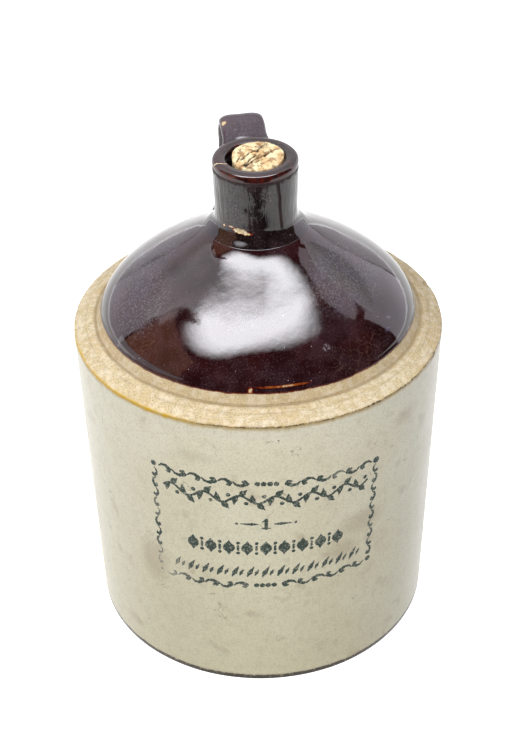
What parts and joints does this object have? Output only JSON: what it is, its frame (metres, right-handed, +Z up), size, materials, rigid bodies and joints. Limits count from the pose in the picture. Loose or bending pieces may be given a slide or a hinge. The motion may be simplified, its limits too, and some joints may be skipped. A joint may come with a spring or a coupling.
{
  "type": "stoneware jug",
  "caption": "Stoneware shoulder jug with a straight cream glazed body, a bare clay ledge, a brown domed top, a short neck with a strap handle, and a cork that lifts out.",
  "frame": {"origin": "on the jug's own axis, in the plane of its flat base", "axes": "+Z up through the mouth, +Y towards the handle, +X to the right seen from the printed side"},
  "size_m": [0.184, 0.184, 0.2627],
  "materials": {
    "cream_glaze": "gloss",
    "brown_glaze": "gloss",
    "cork": "matte"
  },
  "bodies": {
    "jug": {"crock_body": "cream_glaze", "shoulder_ring": "cream_glaze", "domed_top": "brown_glaze", "neck_collar": "brown_glaze", "strap_handle": "brown_glaze"},
    "cork": {"cork_stopper": "cork"}
  },
  "joints": [
    {"name": "cork_pull", "type": "slide", "parent": "jug", "child": "cork", "axis": [0, 0, 1], "range_m": [0, 0.06]}
  ]
}
